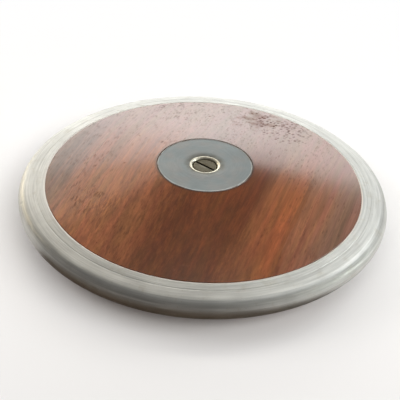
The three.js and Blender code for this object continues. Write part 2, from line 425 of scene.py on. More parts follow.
def turned(name, outline, steps):
    """Turns an outline, closed or from axis to axis, into one solid piece."""
    clear_selection()
    bpy.ops.mesh.primitive_plane_add(size=MM)
    piece = bpy.context.object
    piece.name = name
    bpy.ops.object.mode_set(mode="EDIT")
    bpy.ops.mesh.select_all(action="SELECT")
    bpy.ops.mesh.merge(type="CENTER")
    radius, height = outline[0]
    bpy.ops.transform.translate(value=(radius, 0, height))
    back_to_start = [] if radius == 0 else outline[:1]
    for next_radius, next_height in outline[1:] + back_to_start:
        move = (next_radius - radius, 0, next_height - height)
        bpy.ops.mesh.extrude_region_move(TRANSFORM_OT_translate={"value": move})
        radius, height = next_radius, next_height
    bpy.ops.mesh.select_all(action="SELECT")
    bpy.ops.mesh.remove_doubles(threshold=MERGE_GAP)
    bpy.ops.mesh.spin(steps=steps, angle=2 * pi, center=(0, 0, 0), axis=(0, 0, 1))
    bpy.ops.mesh.select_all(action="SELECT")
    bpy.ops.mesh.remove_doubles(threshold=MERGE_GAP)
    bpy.ops.mesh.normals_make_consistent(inside=False)
    bpy.ops.object.mode_set(mode="OBJECT")
    bpy.ops.object.shade_smooth_by_angle(angle=SMOOTH_ANGLE)
    return piece


def copied(piece, name):
    """A copy of a piece with its own mesh."""
    pick(piece)
    bpy.ops.object.duplicate(linked=False)
    twin = bpy.context.object
    twin.name = name
    return twin


def sawn(piece, point, across, keep_above):
    """Saws a piece at a point, along the plane square to across, and closes the cut."""
    pick(piece)
    bpy.ops.object.mode_set(mode="EDIT")
    bpy.ops.mesh.select_all(action="SELECT")
    bpy.ops.mesh.bisect(
        plane_co=point,
        plane_no=across,
        use_fill=True,
        clear_inner=keep_above,
        clear_outer=not keep_above,
    )
    bpy.ops.object.mode_set(mode="OBJECT")
    bpy.ops.object.shade_smooth_by_angle(angle=SMOOTH_ANGLE)


def dented(piece, place, reach, depth):
    """Knocks a small dent into a piece, towards the rim's round core."""
    pick(piece)
    place = Vector(place)
    bpy.ops.object.mode_set(mode="EDIT")
    bpy.ops.mesh.select_mode(type="VERT")
    bpy.ops.mesh.select_all(action="DESELECT")
    bpy.ops.object.mode_set(mode="OBJECT")
    for vertex in piece.data.vertices:
        vertex.select = (vertex.co - place).length < DENT_MESH_REACH * reach
    bpy.ops.object.mode_set(mode="EDIT")
    bpy.ops.mesh.subdivide(number_cuts=DENT_MESH_CUTS, smoothness=1.0)
    bpy.ops.mesh.select_all(action="DESELECT")
    bpy.ops.object.mode_set(mode="OBJECT")
    nearest = min(piece.data.vertices, key=lambda vertex: (vertex.co - place).length)
    nearest.select = True
    heading = Vector((nearest.co.x, nearest.co.y, 0)).normalized()
    push = heading * (RIM_HIGH.x - EDGE_RADIUS) - nearest.co
    bpy.ops.object.mode_set(mode="EDIT")
    bpy.ops.transform.translate(
        value=push.normalized() * depth,
        use_proportional_edit=True,
        proportional_edit_falloff="SMOOTH",
        proportional_size=reach,
    )
    bpy.ops.object.mode_set(mode="OBJECT")


def cut_slot(piece, height, turn):
    """Cuts the driver slot across a head and breaks its edges."""
    clear_selection()
    bpy.ops.mesh.primitive_cube_add(size=1, location=(0, 0, height))
    cutter = bpy.context.object
    bpy.ops.transform.resize(value=(CUTTER_LENGTH, SLOT_WIDTH, SLOT_DEPTH * 2))
    bpy.ops.object.transform_apply(location=False, rotation=False, scale=True)
    cutter.rotation_euler.z = turn
    bpy.ops.object.transform_apply(location=True, rotation=True, scale=True)
    pick(piece)
    bpy.ops.object.modifier_add(type="BOOLEAN")
    cut = piece.modifiers[-1]
    cut.object = cutter
    cut.operation = "DIFFERENCE"
    bpy.ops.object.modifier_apply(modifier=cut.name)
    bpy.ops.object.modifier_add(type="BEVEL")
    broken = piece.modifiers[-1]
    broken.width = SLOT_BREAK
    broken.segments = SLOT_EDGE_STEPS
    broken.angle_limit = SLOT_EDGE_ANGLE
    bpy.ops.object.modifier_apply(modifier=broken.name)
    bpy.ops.object.shade_smooth_by_angle(angle=SMOOTH_ANGLE)
    pick(cutter)
    bpy.ops.object.delete()


def settle(piece, material, slot, *nodes):
    """Gives a piece its finish and its place in the frame."""
    piece.data.materials.clear()
    piece.data.materials.append(material)
    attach(piece, "root")
    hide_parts(*nodes)


# Finishes: helpers for node trees


def fill_sockets(tree, node, sockets):
    """Links each socket of a shader node to a pattern, or sets it to a value."""
    for name, value in sockets.items():
        if isinstance(value, bpy.types.NodeSocket):
            tree.links.new(value, node.inputs[name])
        else:
            node.inputs[name].default_value = value


def add_node(tree, kind, sockets=None, **settings):
    """Adds a shader node, sets its options and fills its sockets."""
    made = tree.nodes.new("ShaderNode" + kind)
    for key, value in settings.items():
        setattr(made, key, value)
    fill_sockets(tree, made, sockets or {})
    return made


def new_finish(name):
    """An empty material, with its node tree and main shader."""
    material = bpy.data.materials.new(name)
    material.use_nodes = True
    tree = material.node_tree
    shader = tree.nodes["Principled BSDF"]
    return material, tree, shader


def noise(tree, vector, scale, detail=2.0, roughness=0.5):
    """A cloudy pattern from 0 to 1, mostly near the middle."""
    sockets = {"Vector": vector, "Scale": scale, "Detail": detail, "Roughness": roughness}
    return add_node(tree, "TexNoise", sockets).outputs[0]


def remap(tree, value, low, high, start=0.0, end=1.0):
    """Runs smoothly from start to end while value goes from low to high."""
    span = {"Value": value, "From Min": low, "From Max": high, "To Min": start, "To Max": end}
    return add_node(tree, "MapRange", span, interpolation_type="SMOOTHSTEP").outputs[0]


def remap_linear(tree, value, low, high):
    """Runs evenly from 0 to 1 while value goes from low to high."""
    span = {"Value": value, "From Min": low, "From Max": high}
    return add_node(tree, "MapRange", span).outputs[0]


def between(tree, cloud, start=0.0, end=1.0):
    """Spreads a cloudy pattern out from start to end."""
    return remap(tree, cloud, *CLOUD_RANGE, start, end)


def sum_of(tree, first, second):
    return add_node(tree, "Math", {0: first, 1: second}, operation="ADD").outputs[0]


def product(tree, first, second):
    return add_node(tree, "Math", {0: first, 1: second}, operation="MULTIPLY").outputs[0]


def at_most_one(tree, value):
    return add_node(tree, "Math", {0: value, 1: 1.0}, operation="MINIMUM").outputs[0]


def part_of(tree, vector, axis):
    return add_node(tree, "SeparateXYZ", {0: vector}).outputs[axis]


def scaled(tree, vector, scale):
    """A vector or colour times a number."""
    sockets = {0: vector, "Scale": scale}
    return add_node(tree, "VectorMath", sockets, operation="SCALE").outputs[0]


def distance(tree, place, spot):
    return add_node(tree, "VectorMath", {0: place, 1: spot}, operation="DISTANCE").outputs[1]


def mixed(tree, share, first, second, mode="MIX"):
    """Mixes two colours."""
    colours = [(*each, 1.0) if isinstance(each, tuple) else each for each in (first, second)]
    sockets = dict(zip(COLOUR_MIX_SOCKETS, (share, *colours)))
    made = add_node(tree, "Mix", sockets, data_type="RGBA", blend_type=mode)
    return made.outputs[COLOUR_MIX_RESULT]


def colour_ramp(tree, value, stops):
    """Colours by value: stops are (position, (r, g, b))."""
    made = add_node(tree, "ValToRGB", {0: value})
    elements = made.color_ramp.elements
    while len(elements) < len(stops):
        elements.new(0.5)
    for element, (position, colour) in zip(elements, stops):
        element.position = position
        element.color = (*colour, 1.0)
    return made.outputs[0]


def bump(tree, height, depth):
    """Turns a height pattern into small relief, depth in metres."""
    sockets = {"Height": height, "Distance": depth, "Strength": 1.0}
    return add_node(tree, "Bump", sockets).outputs[0]


def mapped(tree, vector, **sockets):
    """Coordinates that are turned, stretched or shifted."""
    return add_node(tree, "Mapping", {"Vector": vector, **sockets}).outputs[0]


def place_of(tree):
    """Coordinates in the frame of the discus."""
    return add_node(tree, "TexCoord").outputs["Object"]


def flattened(tree, place):
    """The point of the middle plane in line with a place."""
    return add_node(tree, "VectorMath", {0: place, 1: (1, 1, 0)}, operation="MULTIPLY").outputs[0]


def distance_from_axis(tree, place):
    """Distance of a place from the upright axis of the discus."""
    flat = flattened(tree, place)
    return add_node(tree, "VectorMath", {0: flat}, operation="LENGTH").outputs[1]


def turned_marks(tree, around, across):
    """Coordinates for marks that run round the axis: slow round it, quick across it."""
    place = place_of(tree)
    flat = flattened(tree, place)
    radius = distance_from_axis(tree, place)
    heading = add_node(tree, "VectorMath", {0: flat}, operation="NORMALIZE").outputs[0]
    spread = scaled(tree, heading, around)
    height = part_of(tree, place, Z)
    level = add_node(tree, "Math", {0: height}, operation="ABSOLUTE").outputs[0]
    run = add_node(tree, "Math", {0: radius, 1: level}, operation="SUBTRACT").outputs[0]
    lift = add_node(tree, "CombineXYZ", {Z: product(tree, run, across)}).outputs[0]
    return add_node(tree, "VectorMath", {0: spread, 1: lift}, operation="ADD").outputs[0]


# Finishes


def blended(first, share, second, other_share):
    """Adds shares of two colours."""
    return tuple(share * a + other_share * b for a, b in zip(first, second))


def wood_tones(colours):
    """The four wood colours, and three tones between them, by name."""
    heart, warm = tuple(colours.heartwood), tuple(colours.streak_wood)
    pale, grey = tuple(colours.pale_wood), tuple(colours.grey_wood)
    return {
        "heart": heart,
        "warm": warm,
        "pale": pale,
        "grey": grey,
        "mid": blended(heart, 0.5, pale, 0.5),
        "dull": blended(pale, 0.6, grey, 0.5),
        "red": blended(warm, 0.5, grey, 0.5),
    }


def grain_coordinates(tree, grain, shift, stretch):
    """Coordinates in millimetres, drawn out along the grain."""
    return mapped(tree, grain, Location=shift, Scale=(1 / MM, stretch / MM, 1 / MM))


def wood_finish(name, turn, shift, stops):
    """Oiled and worn hardwood: bands, streaks, pores, a worn patch and a soft sheen."""
    material, tree, shader = new_finish(name)
    place = place_of(tree)
    grain = mapped(tree, place, Rotation=(0, 0, -turn))
    long = grain_coordinates(tree, grain, shift, 0.02)
    short = grain_coordinates(tree, grain, shift, 0.13)
    plain = grain_coordinates(tree, grain, shift, 0.5)
    fibres = grain_coordinates(tree, grain, shift, 0.05)
    colour = banded_wood_and_sheen(tree, grain, (long, fibres, short), stops)
    crowd = remap(tree, noise(tree, plain, 0.05, 3.0), 0.35, 0.65, 0.05, 0.45)
    far = remap(tree, part_of(tree, grain, Y), 20 * MM, 70 * MM, 0.0, 0.15)
    crowd = sum_of(tree, crowd, far)
    pores = dots(tree, grain_coordinates(tree, grain, shift, 0.2), 1.1, crowd)
    scars = dark_scars(tree, place, short, plain)
    worn, pits = worn_patch(tree, place)
    varnish = 1.0
    marks = ((pores, PORE_MARKS), (scars, SCAR_MARKS), (worn, WORN_MARKS), (pits, PIT_MARKS))
    for mask, (tint, share, loss) in marks:
        colour = mixed(tree, product(tree, mask, share), colour, tint)
        varnish = sum_of(tree, varnish, product(tree, mask, loss))
    # Painted shade in a thin line where the wood meets the plate
    colour = painted_seam_shade(tree, place, colour)
    rough = between(tree, noise(tree, long, 0.4, 3.0), 0.4, 0.5)
    rough = sum_of(tree, rough, product(tree, worn, 0.35))
    frayed = product(tree, worn, noise(tree, plain, 2.6, 2.0))
    height = product(tree, noise(tree, short, 4.0), FIBRE_RISE)
    rises = ((frayed, WORN_RISE), (pores, PORE_RISE), (scars, SCAR_RISE), (pits, PIT_RISE))
    for mask, rise in rises:
        height = sum_of(tree, height, product(tree, mask, rise))
    relief = bump(tree, height, WOOD_RELIEF)
    fill_sockets(tree, shader, {
        "Base Color": colour,
        "Roughness": rough,
        "Normal": relief,
        "Specular IOR Level": WOOD_SPECULAR,
        "Coat Weight": remap_linear(tree, varnish, 0.0, 1.0),
        "Coat Roughness": VARNISH_ROUGHNESS,
        "Coat IOR": VARNISH_IOR,
        "Coat Normal": relief,
    })
    return material


def banded_wood_and_sheen(tree, grain, stretched, stops):
    """Colour bands across the board, paler to one end, broken up by streaks and fibres, with a
    painted sheen that pales the far side.
    """
    long, fibres, short = stretched
    parts = add_node(tree, "SeparateXYZ", {0: grain}).outputs
    wander = between(tree, noise(tree, long, 0.06), -4 * MM, 4 * MM)
    fringe = between(tree, noise(tree, long, 0.6, 3.0), -1.5 * MM, 1.5 * MM)
    across = sum_of(tree, parts[X], sum_of(tree, wander, fringe))
    colour = colour_ramp(tree, remap_linear(tree, across, -BAND_SPAN, BAND_SPAN), stops)
    # Painted sheen: towards the far side the wood is mixed with a pale pink that stands in for
    # glare
    far_sheen = remap(tree, parts[Y], -5 * MM, 50 * MM, 0.0, 0.78)
    colour = mixed(tree, far_sheen, colour, FAR_PAINTED_SHEEN)
    hue = mixed(tree, between(tree, noise(tree, long, 0.2, 1.0)), REDDER, YELLOWER)
    colour = mixed(tree, 1.0, colour, hue, "MULTIPLY")
    paler = remap(tree, parts[Y], -95 * MM, 10 * MM, 0.78, 1.12)
    broad = between(tree, noise(tree, long, 0.13, 3.0), 0.84, 1.14)
    streak = between(tree, noise(tree, long, 0.5, 4.0, 0.65), 0.78, 1.15)
    fibre = between(tree, noise(tree, long, 3.0, 2.0), 0.9, 1.08)
    fleck = between(tree, noise(tree, fibres, 0.8, 4.0, 0.7), 0.84, 1.13)
    rough = remap(tree, noise(tree, short, 0.45, 3.0, 0.6), 0.35, 0.65, -0.5, 0.5)
    weathered = product(tree, rough, remap(tree, parts[X], -75 * MM, -15 * MM, 0.22, 0.06))
    tone = product(tree, product(tree, broad, streak), product(tree, fibre, fleck))
    tone = sum_of(tree, tone, weathered)
    strong = product(
        tree,
        remap(tree, parts[X], -20 * MM, 40 * MM, 1.05, 0.85),
        remap(tree, parts[Y], -10 * MM, 50 * MM, 1.0, 0.42),
    )
    tone = sum_of(tree, product(tree, sum_of(tree, tone, -1.0), strong), 1.0)
    return scaled(tree, colour, product(tree, tone, paler))


def near_spot(tree, place, spot, core, edge=1.0):
    """1 at the core of a spot, fading to 0 at its edge: both are shares of its reach."""
    centre, reach = spot
    return remap(tree, distance(tree, place, centre), reach * core, reach * edge, 1.0, 0.0)


def dark_scars(tree, place, short, plain):
    """Short dark checks along the grain, in loose groups, and one pin knot."""
    crowd = product(tree, near_spot(tree, place, SCARRED_SPOT, 0.3), 0.185)
    groups = remap(tree, noise(tree, plain, 0.05), 0.35, 0.7, -0.05, 0.05)
    level = sum_of(tree, noise(tree, short, 1.1, 3.0, 0.6), sum_of(tree, crowd, groups))
    knot = near_spot(tree, place, PIN_KNOT, 0.6, 1.3)
    return at_most_one(tree, sum_of(tree, remap(tree, level, 0.67, 0.74), knot))


def dots(tree, vector, scale, density, disorder=1.0):
    """Small separate spots, each there or not by chance, as often as density says."""
    sockets = {"Vector": vector, "Scale": scale, "Randomness": disorder}
    cells = add_node(tree, "TexVoronoi", sockets).outputs
    chance = part_of(tree, cells["Color"], X)
    there = add_node(tree, "Math", {0: chance, 1: density}, operation="LESS_THAN").outputs[0]
    return product(tree, remap(tree, cells["Distance"], 0.14, 0.54, 1.0, 0.0), there)


def worn_patch(tree, place):
    """A dull worn blotch with uneven edges, and rows of small pits beside it."""
    even = mapped(tree, place, Scale=(1 / MM, 1 / MM, 1 / MM))
    cloud = noise(tree, even, 0.16, 4.0, 0.6)
    near = near_spot(tree, place, WORN_SPOT, 0.1)
    worn = remap(tree, sum_of(tree, cloud, product(tree, near, 0.3)), 0.6, 0.84)
    slanted = mapped(tree, place, Rotation=(0, 0, -DOT_ROW_TURN))
    rows = mapped(tree, slanted, Scale=DOT_ROWS)
    crowd = near_spot(tree, place, DOTTED_SPOT, 0.3)
    crowd = product(tree, crowd, remap(tree, cloud, 0.35, 0.55, 0.7, 1.5))
    crowd = sum_of(tree, crowd, product(tree, worn, 0.4))
    speckled = remap(tree, noise(tree, even, 0.1, 2.0), 0.45, 0.6, 0.0, 0.5)
    near = near_spot(tree, place, SPECKLED_SPOT, 0.5)
    crowd = sum_of(tree, crowd, product(tree, near, speckled))
    return worn, dots(tree, rows, 1.0, crowd, 0.55)


def painted_seam_shade(tree, place, colour):
    """Paints shade on the wood in a thin dark line against the plate."""
    radius = distance_from_axis(tree, place)
    painted_shade = remap(tree, radius, PLATE_HIGH.x + 0.3 * MM, PLATE_HIGH.x + 1.6 * MM, 0.7, 0.0)
    return mixed(tree, painted_shade, colour, PLATE_SEAM_PAINTED_SHADE)


def steel_finish(name, colour, wear=None):
    """Turned steel: faint tool rings, stains, fine scratches and, where given, wear."""
    stain, roughness, scratches, tooling = STEELS[name]
    material, tree, shader = new_finish(name)
    rings = turned_marks(tree, *FINE_RINGS)
    broad_rings = turned_marks(tree, *BROAD_RINGS)
    place = place_of(tree)
    lines = between(tree, noise(tree, broad_rings, 1.0, 3.0, 0.6), 1 - tooling, 1.05)
    cloud = between(tree, noise(tree, place, 60.0, 4.0), 0.93, 1.05)
    tone = product(tree, lines, cloud)
    stains = remap(tree, noise(tree, place, 130.0, 5.0, 0.65), 0.52, 0.72)
    specks = remap(tree, noise(tree, place, 900.0, 2.0), 0.68, 0.74)
    shade = mixed(tree, product(tree, stains, 0.35), colour, stain)
    shade = mixed(tree, product(tree, specks, 0.5), shade, stain)
    shade = scaled(tree, shade, tone)
    ring = noise(tree, rings, 1.0, 2.0)
    rub = between(tree, ring, roughness - 0.03, roughness + 0.04)
    drawn_out = mapped(tree, place, Rotation=(0, 0, SCRATCH_TURN), Scale=SCRATCH_STRETCH)
    scratch = remap(tree, noise(tree, drawn_out, 1.0, 1.0), 0.7, 0.76)
    height = sum_of(tree, product(tree, ring, 0.6), product(tree, scratch, -scratches))
    height = sum_of(tree, height, product(tree, specks, -0.5))
    fill_sockets(tree, shader, {
        "Base Color": wear(tree, shade) if wear else shade,
        "Metallic": 1.0,
        "Roughness": sum_of(tree, rub, product(tree, stains, 0.06)),
        "Normal": bump(tree, height, STEEL_RELIEF),
    })
    return material


def rubbed_arris(tree, shade):
    """Rubs the rim bright along the arris beside the wood."""
    arris = RIM_HIGH.x - RIM_FACE_WIDTH + RIM_ARRIS
    rubbed = remap(tree, distance_from_axis(tree, place_of(tree)), arris, arris - 0.3 * MM)
    return mixed(tree, product(tree, rubbed, 0.7), shade, RUBBED_RIM)


def aged_and_shaded_plate(tree, shade):
    """Blotches a plate, rubs and rusts its edge, and paints shade in the dish round the cup."""
    place = place_of(tree)
    radius = distance_from_axis(tree, place)
    hue = remap(tree, noise(tree, place, 110.0, 3.0), 0.35, 0.65)
    hue = mixed(tree, hue, COOLER, WARMER)
    shade = mixed(tree, 1.0, shade, hue, "MULTIPLY")
    uneven = remap(tree, noise(tree, place, 300.0, 2.0), 0.3, 0.6, 0.5, 1.0)
    # Painted shade in the dish round the cup
    painted_shade = remap(tree, radius, CUP_HIGH.x, CUP_HIGH.x + 1.4 * DISH_WIDTH, 0.8, 0.0)
    shade = mixed(tree, product(tree, painted_shade, uneven), shade, CUP_DISH_PAINTED_SHADE)
    lip = PLATE_HIGH.x - PLATE_BEVEL - LIP_WIDTH
    rubbed = remap(tree, radius, lip, lip + 0.3 * MM, 0.0, 0.45)
    shade = mixed(tree, product(tree, rubbed, uneven), shade, RUBBED_PLATE)
    rust = remap(tree, noise(tree, place, 220.0, 3.0), 0.4, 0.6, 0.2, 0.8)
    edge = remap(tree, radius, PLATE_HIGH.x - 1.2 * MM, PLATE_HIGH.x - 0.4 * MM)
    return mixed(tree, product(tree, edge, rust), shade, EDGE_RUST)


def cast_finish(name):
    """Dark cast iron with a grainy skin."""
    material, tree, shader = new_finish(name)
    place = place_of(tree)
    grain = noise(tree, place, 700.0, 4.0, 0.7)
    fill_sockets(tree, shader, {
        "Base Color": colour_ramp(tree, grain, IRON_STOPS),
        "Metallic": 0.9,
        "Roughness": between(tree, grain, 0.55, 0.8),
        "Normal": bump(tree, grain, IRON_RELIEF),
    })
    return material


def floor_finish(colour):
    """Pale matt floor, with painted shade that makes it a little darker towards the front."""
    material, tree, shader = new_finish("pale_floor")
    place = place_of(tree)
    # Painted shade: the floor darkens towards the front
    near = remap(tree, part_of(tree, place, Y), *FLOOR_SHADE_DEPTHS)
    front = tuple(FRONT_PAINTED_SHADE_SHARE * part for part in colour)
    shade = mixed(tree, near, front, tuple(colour))
    grain = between(tree, noise(tree, place, 900.0, 2.0), 0.0, 0.03)
    fill_sockets(tree, shader, {
        "Base Color": mixed(tree, grain, shade, FLOOR_GRAIN),
        "Roughness": FLOOR_ROUGHNESS,
        "Specular IOR Level": FLOOR_SPECULAR,
    })
    fade_to_white(tree, shader, place)
    return material


def fade_to_white(tree, shader, place):
    """Lets the far floor run into the white background, seen directly or mirrored."""
    far = remap(tree, distance(tree, place, FADE_CENTRE), *FADE_REACH)
    path = add_node(tree, "LightPath").outputs
    seen = sum_of(tree, path["Is Camera Ray"], path["Is Glossy Ray"])
    seen = sum_of(tree, seen, path["Is Transmission Ray"])
    share = at_most_one(tree, product(tree, far, seen))
    white = add_node(tree, "Emission", {"Color": WHITE, "Strength": 1.0})
    blend = {0: share, 1: shader.outputs[0], 2: white.outputs[0]}
    surface = add_node(tree, "MixShader", blend).outputs[0]
    fill_sockets(tree, tree.nodes["Material Output"], {"Surface": surface})


# Outlines of the pieces


def rim_outline(sizes):
    """Round edge, flush face with its groove, and the web between the wooden sides."""
    centre = sizes.outer_radius - EDGE_RADIUS
    inner = sizes.outer_radius - RIM_FACE_WIDTH
    web = inner - WEB_DEPTH
    groove = sizes.outer_radius - GROOVE_INSET
    sweep = pi / 2 - taper_angle(sizes)
    mouth_round, floor_round = GROOVE_ROUNDS
    top_round, foot_round = RIM_ARRIS_ROUNDS
    bead = [
        (centre + EDGE_RADIUS * cos(sweep * i / BEAD_STEPS),
         EDGE_RADIUS * sin(sweep * i / BEAD_STEPS))
        for i in range(BEAD_STEPS + 1)
    ]
    face = [
        (groove + GROOVE_HALF, side_height(sizes, groove + GROOVE_HALF), mouth_round),
        (groove + GROOVE_FLOOR_HALF, side_height(sizes, groove) - GROOVE_DEPTH, floor_round),
        (groove - GROOVE_FLOOR_HALF, side_height(sizes, groove) - GROOVE_DEPTH, floor_round),
        (groove - GROOVE_HALF, side_height(sizes, groove - GROOVE_HALF), mouth_round),
        (inner + RIM_ARRIS, side_height(sizes, inner + RIM_ARRIS), top_round),
        (inner, side_height(sizes, inner + RIM_ARRIS) - ARRIS_DROP, foot_round),
        (inner, WEB_HALF, RIM_SEAT_ROUND),
        (web + WEB_ARRIS, WEB_HALF, SMALL_ROUND),
        (web, WEB_HALF - WEB_ARRIS, SMALL_ROUND),
    ]
    first, last = (*bead[-1], 0), (web, 0, 0)
    rounded = softened([first, *face, last])
    upper = bead[:-1] + rounded
    lower = [(radius, -height) for radius, height in reversed(upper[1:-1])]
    return upper + lower


def side_outline(sizes):
    """One wooden side, with the seats for the web, plate and weight."""
    edge = sizes.outer_radius - RIM_FACE_WIDTH - SNUG
    web = sizes.outer_radius - RIM_FACE_WIDTH - WEB_DEPTH - SNUG
    recess = sizes.plate_radius + SNUG
    pocket = WEIGHT_HIGH.x + SNUG
    hole = SLEEVE_RADIUS + SNUG
    seat = PLATE_LOW.z - SNUG
    pocket_floor = WEIGHT_LOW.z - SNUG
    return softened([
        (hole, SNUG, 0),
        (web, SNUG, 0),
        (web, WEB_HALF + SNUG, 0),
        (edge, WEB_HALF + SNUG, 0),
        (edge, side_height(sizes, edge), WOOD_ARRIS),
        (recess, side_height(sizes, recess), PLATE_SEAT_ARRIS),
        (recess, seat, 0),
        (pocket, seat, 0),
        (pocket, pocket_floor, 0),
        (hole, pocket_floor, 0),
    ])


def plate_outline(sizes):
    """Flush steel disc with a bevelled edge, a low lip and a shallow dish round the cup."""
    top = sizes.half_thickness
    face = top - LIP_RISE
    lip = sizes.plate_radius - PLATE_BEVEL
    hole = HEAD_RADIUS + CUP_WALL + 2 * CLEARANCE
    flange = sizes.cup_radius + SNUG
    seat = CUP_HIGH.z - FLANGE_THICKNESS - SNUG
    return softened([
        (hole, PLATE_LOW.z, SMALL_ROUND),
        (sizes.plate_radius, PLATE_LOW.z, SMALL_ROUND),
        (sizes.plate_radius, top - PLATE_BEVEL, SMALL_ROUND),
        (lip, top, SMALL_ROUND),
        (lip - LIP_WIDTH, face, LIP_ROUND),
        (flange + DISH_WIDTH, face, DISH_ROUND),
        (flange, top - DISH_DEPTH, FLANGE_SEAT_ROUND),
        (flange, seat, TINY_ROUND),
        (hole, seat, TINY_ROUND),
    ])


def cup_outline(sizes):
    """Turned cup: a flange with a rounded lip, a bright bevel and a floor under the head."""
    top = CUP_HIGH.z
    bore = HEAD_RADIUS + CLEARANCE
    body = bore + CUP_WALL
    seat = top - FLANGE_THICKNESS
    floor = CUP_LOW.z + CUP_FLOOR
    hole = SLEEVE_RADIUS + CLEARANCE
    return softened([
        (hole, CUP_LOW.z, TINY_ROUND),
        (body, CUP_LOW.z, SMALL_ROUND),
        (body, seat, TINY_ROUND),
        (sizes.cup_radius, seat, TINY_ROUND),
        (sizes.cup_radius, top - CUP_LIP_DROP, CUP_LIP_ROUND),
        (sizes.cup_radius - CUP_LIP, top, SMALL_ROUND),
        *[(bore + out, top - down, CUP_BEVEL_ROUND) for out, down in CUP_BEVEL_POINTS],
        (bore, top - CUP_BEVEL, CUP_BORE_ROUND),
        (bore, floor, TINY_ROUND),
        (hole, floor, TINY_ROUND),
    ])


def screw_outline():
    """Cheese head with a softened edge on a plain shank."""
    top = SCREW_HIGH.z
    under = top - HEAD_HEIGHT
    tip = SCREW_LOW.z
    return [(0, tip)] + softened([
        (SHANK_RADIUS - TIP_BEVEL, tip, TINY_ROUND),
        (SHANK_RADIUS, tip + TIP_BEVEL, TINY_ROUND),
        (SHANK_RADIUS, under, SMALL_ROUND),
        (HEAD_RADIUS, under, SMALL_ROUND),
        (HEAD_RADIUS, top, HEAD_ROUND),
        (HEAD_INNER_RING, top, 0),
        (0, top, 0),
    ])


def nut_outline():
    """Head and barrel of the sleeve nut, with its blind bore."""
    top = -NUT_LOW.z
    under = top - HEAD_HEIGHT
    mouth = NUT_HIGH.z
    bore_end = SCREW_LOW.z - BORE_PAST_TIP
    return [(0, -top)] + softened([
        (HEAD_INNER_RING, -top, 0),
        (HEAD_RADIUS, -top, HEAD_ROUND),
        (HEAD_RADIUS, -under, SMALL_ROUND),
        (SLEEVE_RADIUS, -under, SMALL_ROUND),
        (SLEEVE_RADIUS, mouth, SLEEVE_ROUND),
        (BORE_RADIUS, mouth, SMALL_ROUND),
        (BORE_RADIUS, bore_end, TINY_ROUND),
        (0, bore_end, 0),
    ])


# Operators


class DISCUS_OT_turn_rim(bpy.types.Operator):
    """Turn the steel rim with its rounded edge, groove and web"""

    bl_idname = "discus.turn_rim"
    bl_label = "Turn Rim"

    def execute(self, context):
        rim = turned("rim_ring", rim_outline(context.scene.discus_sizes), RIM_STEPS)
        for dent in DENTS:
            dented(rim, *dent)
        colour = tuple(context.scene.discus_colours.rim_steel)
        steel = steel_finish("rim_steel", colour, rubbed_arris)
        settle(rim, steel, "rim_steel", "rim")
        return {"FINISHED"}


class DISCUS_OT_turn_wooden_sides(bpy.types.Operator):
    """Turn both wooden sides and saw each along its two glue lines"""

    bl_idname = "discus.turn_wooden_sides"
    bl_label = "Turn Wooden Sides"

    def execute(self, context):
        outline = side_outline(context.scene.discus_sizes)
        tones = wood_tones(context.scene.discus_colours)
        upper = ("upper_left_board", "upper_centre_board", "upper_right_board")
        lower = ("lower_near_board", "lower_centre_board", "lower_far_board")
        slots = ("left_board_wood", "centre_board_wood", "right_board_wood")
        sides = (
            (upper, outline, GRAIN_TURN, 0.0),
            (lower, turned_over(outline), GRAIN_TURN + pi / 2, LOWER_SIDE_SHIFT),
        )
        for names, side, turn, depth in sides:
            blank = turned("side_blank", side, WOOD_STEPS)
            for index, (name, slot) in enumerate(zip(names, slots)):
                board = copied(blank, name + "_wood")
                self.saw_board(board, turn, index - 1)
                shift = (BOARD_SHIFT[X] * index, BOARD_SHIFT[Y] * index, depth)
                stops = [(place, tones[tone]) for place, tone in BOARD_BANDS[index]]
                wood = wood_finish(name + "_wood", turn, shift, stops)
                settle(board, wood, slot, name)
            pick(blank)
            bpy.ops.object.delete()
        return {"FINISHED"}

    def saw_board(self, board, turn, row):
        """Saws out the board of a row: -1 left, 0 centre, 1 right."""
        across = Vector((cos(turn), sin(turn), 0))
        if row >= 0:
            edge = BOARD_HALF + SEAM_HALF if row == 1 else -BOARD_HALF + SEAM_HALF
            sawn(board, across * edge, across, True)
        if row <= 0:
            edge = -BOARD_HALF - SEAM_HALF if row == -1 else BOARD_HALF - SEAM_HALF
            sawn(board, across * edge, across, False)


class DISCUS_OT_turn_plates(bpy.types.Operator):
    """Turn the flush steel plate of each side"""

    bl_idname = "discus.turn_plates"
    bl_label = "Turn Plates"

    def execute(self, context):
        outline = plate_outline(context.scene.discus_sizes)
        colour = tuple(context.scene.discus_colours.plate_steel)
        steel = steel_finish("plate_steel", colour, aged_and_shaded_plate)
        for name, side in (("upper_plate", outline), ("lower_plate", turned_over(outline))):
            plate = turned(name + "_disc", side, PLATE_STEPS)
            settle(plate, steel, "plate_steel", name)
        return {"FINISHED"}


class DISCUS_OT_turn_screw_cups(bpy.types.Operator):
    """Turn the bright screw cup of each side"""

    bl_idname = "discus.turn_screw_cups"
    bl_label = "Turn Screw Cups"

    def execute(self, context):
        outline = cup_outline(context.scene.discus_sizes)
        nickel = steel_finish("cup_nickel", NICKEL)
        sides = (("upper_screw_cup", outline), ("lower_screw_cup", turned_over(outline)))
        for name, side in sides:
            cup = turned(name + "_ring", side, CUP_STEPS)
            settle(cup, nickel, "cup_nickel", name)
        return {"FINISHED"}


class DISCUS_OT_make_centre_screw(bpy.types.Operator):
    """Turn the centre screw and its sleeve nut, and cut their slots"""

    bl_idname = "discus.make_centre_screw"
    bl_label = "Make Centre Screw"

    def execute(self, context):
        steel = steel_finish("screw_steel", SCREW_BROWN)
        screw = turned("centre_screw_head", screw_outline(), CUP_STEPS)
        cut_slot(screw, SCREW_HIGH.z, SCREW_SLOT_TURN)
        settle(screw, steel, "screw_steel", "centre_screw")
        nut = turned("sleeve_nut_head", nut_outline(), CUP_STEPS)
        cut_slot(nut, NUT_LOW.z, NUT_SLOT_TURN)
        settle(nut, steel, "screw_steel", "sleeve_nut")
        return {"FINISHED"}


